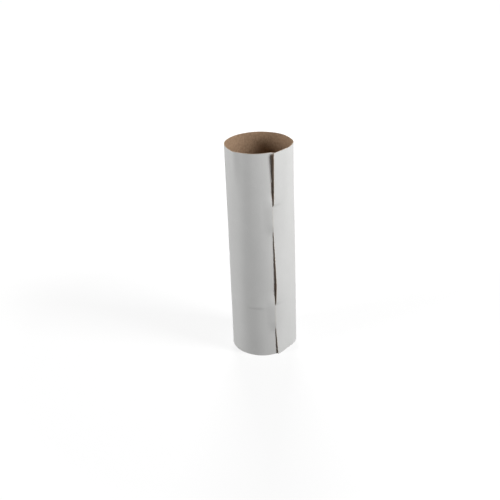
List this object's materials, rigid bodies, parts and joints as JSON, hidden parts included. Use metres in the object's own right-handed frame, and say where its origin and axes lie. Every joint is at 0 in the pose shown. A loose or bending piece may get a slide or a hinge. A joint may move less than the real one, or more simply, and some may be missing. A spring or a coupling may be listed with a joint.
{
  "type": "mailing tube",
  "caption": "Open mailing tube rolled from one die-cut sheet of card, held closed by hook tabs that go through slits along its side seam.",
  "frame": {"origin": "middle of the lower mouth, on the plane the tube stands on", "axes": "+Z along the tube's axis to its upper mouth, the seam faces -Y"},
  "size_m": [0.09, 0.0938, 0.3],
  "materials": {
    "card": "matte"
  },
  "bodies": {
    "root": {"tube": "card"}
  },
  "joints": []
}
